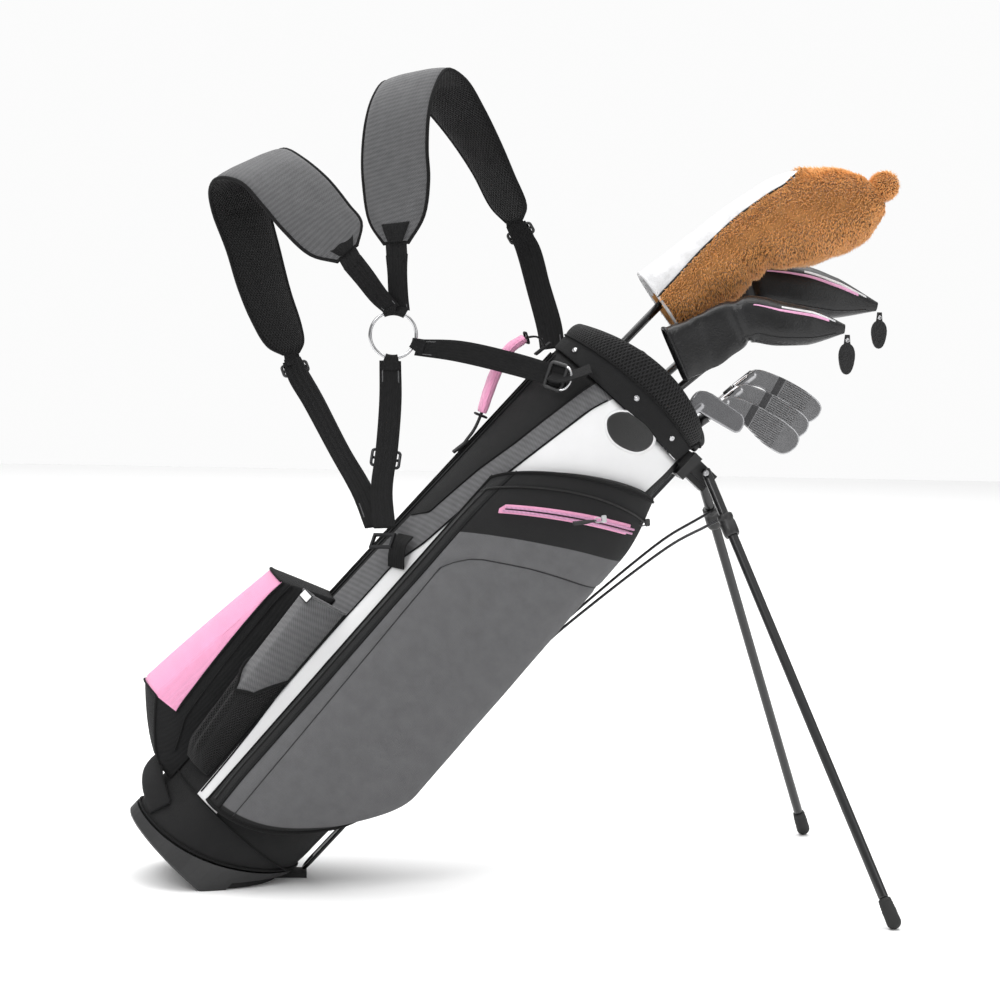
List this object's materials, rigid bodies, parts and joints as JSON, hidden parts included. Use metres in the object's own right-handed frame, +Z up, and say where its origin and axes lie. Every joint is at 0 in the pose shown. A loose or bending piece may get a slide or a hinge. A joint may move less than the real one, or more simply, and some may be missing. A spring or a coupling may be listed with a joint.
{
  "type": "golf club set",
  "caption": "Junior golf set: a leaning stand bag with folding legs and a double shoulder harness, holding covered woods, irons and a putter.",
  "frame": {"origin": "middle of the flat underside of the hinged foot that the leaning bag stands on", "axes": "+Z up; +X along the ground from the bag's base towards its legs; -Y is the side with the big pocket"},
  "size_m": [0.8546, 0.5122, 0.9032],
  "materials": {
    "base_cup": "moulded black, fine grain",
    "bag_shell": "grey woven polyester",
    "top_cuff": "black padded mesh",
    "club_divider": "black padded mesh",
    "spine_stay": "black anodised tube",
    "leg_bracket": "moulded black, fine grain",
    "apparel_pocket": "grey woven polyester",
    "far_pocket": "grey woven polyester",
    "ball_pocket": "pink woven polyester",
    "bottle_pocket": "black padded mesh",
    "handle_strap": "black ribbed webbing",
    "handle_grip": "pink woven polyester",
    "shoulder_pad_left": "black padded mesh",
    "shoulder_pad_right": "black padded mesh",
    "harness_ring": "plated ring",
    "web_ring_left": "black ribbed webbing",
    "web_ring_right": "black ribbed webbing",
    "web_ring_side": "black ribbed webbing",
    "web_ring_lower": "black ribbed webbing",
    "web_pad_left": "black ribbed webbing",
    "web_pad_right": "black ribbed webbing",
    "anchor_loop": "blackened wire",
    "base_foot": "moulded black, fine grain",
    "wire_runner": "moulded black, fine grain",
    "push_rod": "blackened wire",
    "zip_pull": "coated slider with a fabric tab",
    "leg_tube_left": "black anodised tube",
    "leg_foot_left": "black rubber",
    "leg_collar_left": "moulded black, fine grain",
    "push_wire_left": "blackened wire",
    "leg_tube_right": "black anodised tube",
    "leg_foot_right": "black rubber",
    "leg_collar_right": "moulded black, fine grain",
    "push_wire_right": "blackened wire",
    "driver_grip": "black ribbed rubber",
    "driver_shaft": "black lacquered composite",
    "driver_head": "gloss black",
    "driver_cover": "long brown plush with a white panel",
    "fairway_grip": "black ribbed rubber",
    "fairway_shaft": "black lacquered composite",
    "fairway_head": "gloss black",
    "fairway_cover": "black smooth leather",
    "hybrid_grip": "black ribbed rubber",
    "hybrid_shaft": "black lacquered composite",
    "hybrid_head": "gloss black",
    "hybrid_cover": "black smooth leather",
    "iron_long_grip": "black ribbed rubber",
    "iron_long_shaft": "plated steel",
    "iron_long_head": "satin cast steel",
    "iron_short_grip": "black ribbed rubber",
    "iron_short_shaft": "plated steel",
    "iron_short_head": "satin cast steel",
    "wedge_grip": "black ribbed rubber",
    "wedge_shaft": "plated steel",
    "wedge_head": "satin cast steel",
    "putter_grip": "black ribbed rubber",
    "putter_shaft": "plated steel",
    "putter_head": "satin cast steel",
    "fairway_tag": "black smooth leather",
    "hybrid_tag": "black smooth leather"
  },
  "bodies": {
    "bag": {"base_cup": "base_cup", "bag_shell": "bag_shell", "top_cuff": "top_cuff", "club_divider": "club_divider", "spine_stay": "spine_stay", "leg_bracket": "leg_bracket", "apparel_pocket": "apparel_pocket", "far_pocket": "far_pocket", "ball_pocket": "ball_pocket", "bottle_pocket": "bottle_pocket", "handle_strap": "handle_strap", "handle_grip": "handle_grip", "shoulder_pad_left": "shoulder_pad_left", "shoulder_pad_right": "shoulder_pad_right", "harness_ring": "harness_ring", "web_ring_left": "web_ring_left", "web_ring_right": "web_ring_right", "web_ring_side": "web_ring_side", "web_ring_lower": "web_ring_lower", "web_pad_left": "web_pad_left", "web_pad_right": "web_pad_right", "anchor_loop": "anchor_loop"},
    "foot": {"base_foot": "base_foot"},
    "runner": {"wire_runner": "wire_runner", "push_rod": "push_rod"},
    "zip": {"zip_pull": "zip_pull"},
    "leg_left": {"leg_tube_left": "leg_tube_left", "leg_foot_left": "leg_foot_left", "leg_collar_left": "leg_collar_left"},
    "wire_left": {"push_wire_left": "push_wire_left"},
    "leg_right": {"leg_tube_right": "leg_tube_right", "leg_foot_right": "leg_foot_right", "leg_collar_right": "leg_collar_right"},
    "wire_right": {"push_wire_right": "push_wire_right"},
    "driver": {"driver_grip": "driver_grip", "driver_shaft": "driver_shaft", "driver_head": "driver_head", "driver_cover": "driver_cover"},
    "fairway": {"fairway_grip": "fairway_grip", "fairway_shaft": "fairway_shaft", "fairway_head": "fairway_head", "fairway_cover": "fairway_cover"},
    "hybrid": {"hybrid_grip": "hybrid_grip", "hybrid_shaft": "hybrid_shaft", "hybrid_head": "hybrid_head", "hybrid_cover": "hybrid_cover"},
    "iron_long": {"iron_long_grip": "iron_long_grip", "iron_long_shaft": "iron_long_shaft", "iron_long_head": "iron_long_head"},
    "iron_short": {"iron_short_grip": "iron_short_grip", "iron_short_shaft": "iron_short_shaft", "iron_short_head": "iron_short_head"},
    "wedge": {"wedge_grip": "wedge_grip", "wedge_shaft": "wedge_shaft", "wedge_head": "wedge_head"},
    "putter": {"putter_grip": "putter_grip", "putter_shaft": "putter_shaft", "putter_head": "putter_head"},
    "fairway_tag": {"fairway_tag": "fairway_tag"},
    "hybrid_tag": {"hybrid_tag": "hybrid_tag"}
  },
  "joints": [
    {"name": "leg_swing_left", "type": "hinge", "parent": "bag", "child": "leg_left", "pos_m": [0.51644, -0.03, 0.45998], "axis": [-0.3334, -0.8934, 0.3012], "range_deg": [-64, 0]},
    {"name": "leg_swing_right", "type": "hinge", "parent": "bag", "child": "leg_right", "pos_m": [0.51644, 0.03, 0.45998], "axis": [0.3334, -0.8934, -0.3012], "range_deg": [-64, 0]},
    {"name": "runner_slide", "type": "slide", "parent": "bag", "child": "runner", "axis": [-0.6704, 0, -0.742], "range_m": [0, 0.0317]},
    {"name": "wire_swing_left", "type": "hinge", "parent": "runner", "child": "wire_left", "pos_m": [0.33367, -0.012, 0.2592], "axis": [-0.3849, -0.862, 0.3298], "range_deg": [0, 10.8]},
    {"name": "wire_swing_right", "type": "hinge", "parent": "runner", "child": "wire_right", "pos_m": [0.33367, 0.012, 0.2592], "axis": [0.3849, -0.862, -0.3298], "range_deg": [0, 10.8]},
    {"name": "foot_hinge", "type": "hinge", "parent": "bag", "child": "foot", "pos_m": [-0.0355, 0, 0.0035], "axis": [0, 1, 0], "range_deg": [0, 41.04]},
    {"name": "zip_slide", "type": "slide", "parent": "bag", "child": "zip", "axis": [-0.9795, -0.0752, 0.187], "range_m": [0, 0.115]},
    {"name": "driver_slide", "type": "slide", "parent": "bag", "child": "driver", "axis": [0.6758, -0.0506, 0.7353], "range_m": [0, 0.42]},
    {"name": "fairway_slide", "type": "slide", "parent": "bag", "child": "fairway", "axis": [0.7485, 0.067, 0.6597], "range_m": [0, 0.42]},
    {"name": "hybrid_slide", "type": "slide", "parent": "bag", "child": "hybrid", "axis": [0.7586, -0.0433, 0.6501], "range_m": [0, 0.42]},
    {"name": "iron_long_slide", "type": "slide", "parent": "bag", "child": "iron_long", "axis": [0.7726, 0.0042, 0.6348], "range_m": [0, 0.42]},
    {"name": "iron_short_slide", "type": "slide", "parent": "bag", "child": "iron_short", "axis": [0.7734, 0.0153, 0.6337], "range_m": [0, 0.42]},
    {"name": "wedge_slide", "type": "slide", "parent": "bag", "child": "wedge", "axis": [0.7784, 0.0264, 0.6272], "range_m": [0, 0.42]},
    {"name": "putter_slide", "type": "slide", "parent": "bag", "child": "putter", "axis": [0.7518, 0.0238, 0.6589], "range_m": [0, 0.05]},
    {"name": "fairway_tag_swing", "type": "hinge", "parent": "fairway", "child": "fairway_tag", "pos_m": [0.72797, 0.076, 0.64486], "axis": [0, 1, 0], "range_deg": [-50, 40]},
    {"name": "hybrid_tag_swing", "type": "hinge", "parent": "hybrid", "child": "hybrid_tag", "pos_m": [0.6634, -0.056, 0.61964], "axis": [0, 1, 0], "range_deg": [-50, 40]}
  ],
  "couplings": [
    {"joint": "leg_swing_right", "follows": "leg_swing_left", "ratio": 1},
    {"joint": "runner_slide", "follows": "leg_swing_left", "m_per_rad": -0.028083},
    {"joint": "wire_swing_left", "follows": "leg_swing_left", "ratio": -0.16644},
    {"joint": "wire_swing_right", "follows": "leg_swing_left", "ratio": -0.16644},
    {"joint": "foot_hinge", "follows": "leg_swing_left", "ratio": -0.63885}
  ]
}
